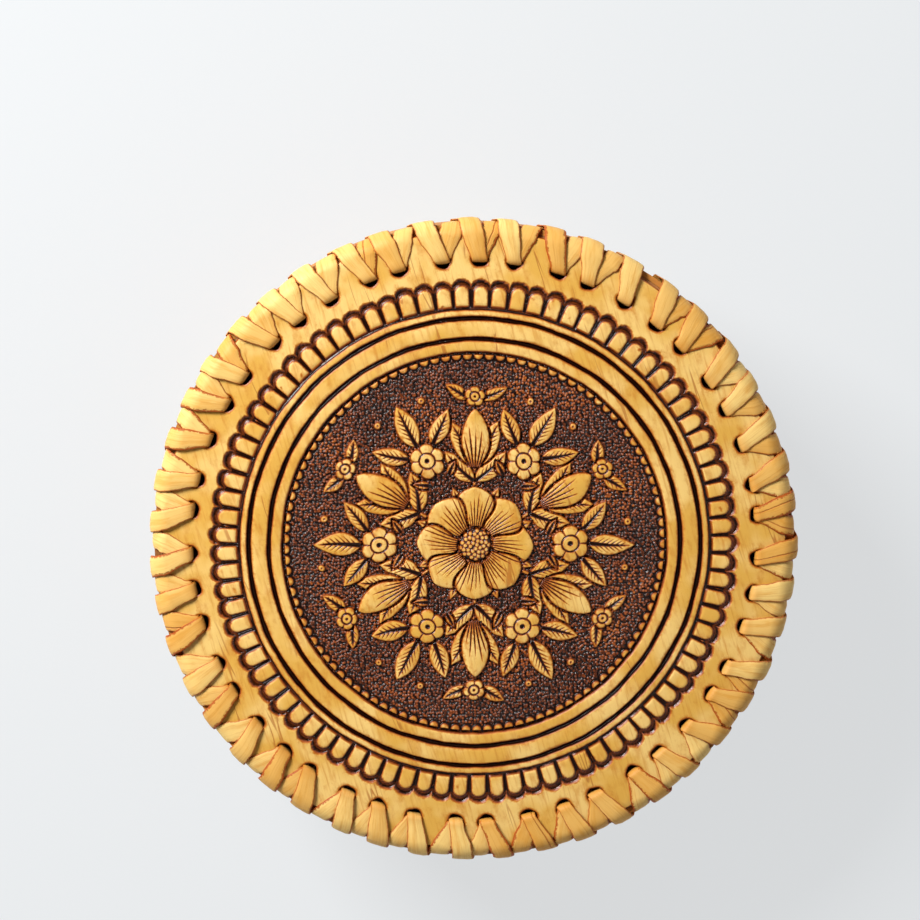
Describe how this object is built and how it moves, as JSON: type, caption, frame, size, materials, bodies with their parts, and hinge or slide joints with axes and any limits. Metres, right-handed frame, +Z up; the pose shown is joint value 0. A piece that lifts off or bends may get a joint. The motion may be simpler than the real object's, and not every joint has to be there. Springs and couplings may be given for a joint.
{
  "type": "lidded box",
  "caption": "Round birch bark box with an embossed, laced lift-off lid that sleeves over the box wall.",
  "frame": {"origin": "middle of the base, on the plane that the base lacing rests on", "axes": "+Z up through the middle of the lid, +X through the first lacing hole"},
  "size_m": [0.17, 0.17, 0.066],
  "materials": {
    "embossed_bark": "embossed and scorched birch bark, lacquered",
    "bark_face": "smooth inner side of birch bark, lacquered",
    "bark_lining": "raw birch bark with lenticels",
    "bark_strip": "thin birch bark strip, satin"
  },
  "bodies": {
    "box": {"bottom_panel": "bark_face", "bottom_lining": "bark_lining", "wall_outer": "bark_face", "wall_inner": "bark_lining", "wall_liner": "bark_lining", "base_lace_under": "bark_strip", "base_lace_over": "bark_strip"},
    "lid": {"lid_panel": "embossed_bark", "lid_lining": "bark_lining", "lid_hoop_outer": "bark_face", "lid_hoop_inner": "bark_lining", "lid_sleeve": "bark_lining", "lid_lace_under": "bark_strip", "lid_lace_over": "bark_strip"}
  },
  "joints": [
    {"name": "lid_lift", "type": "slide", "parent": "box", "child": "lid", "axis": [0, 0, 1], "range_m": [0, 0.08]}
  ]
}
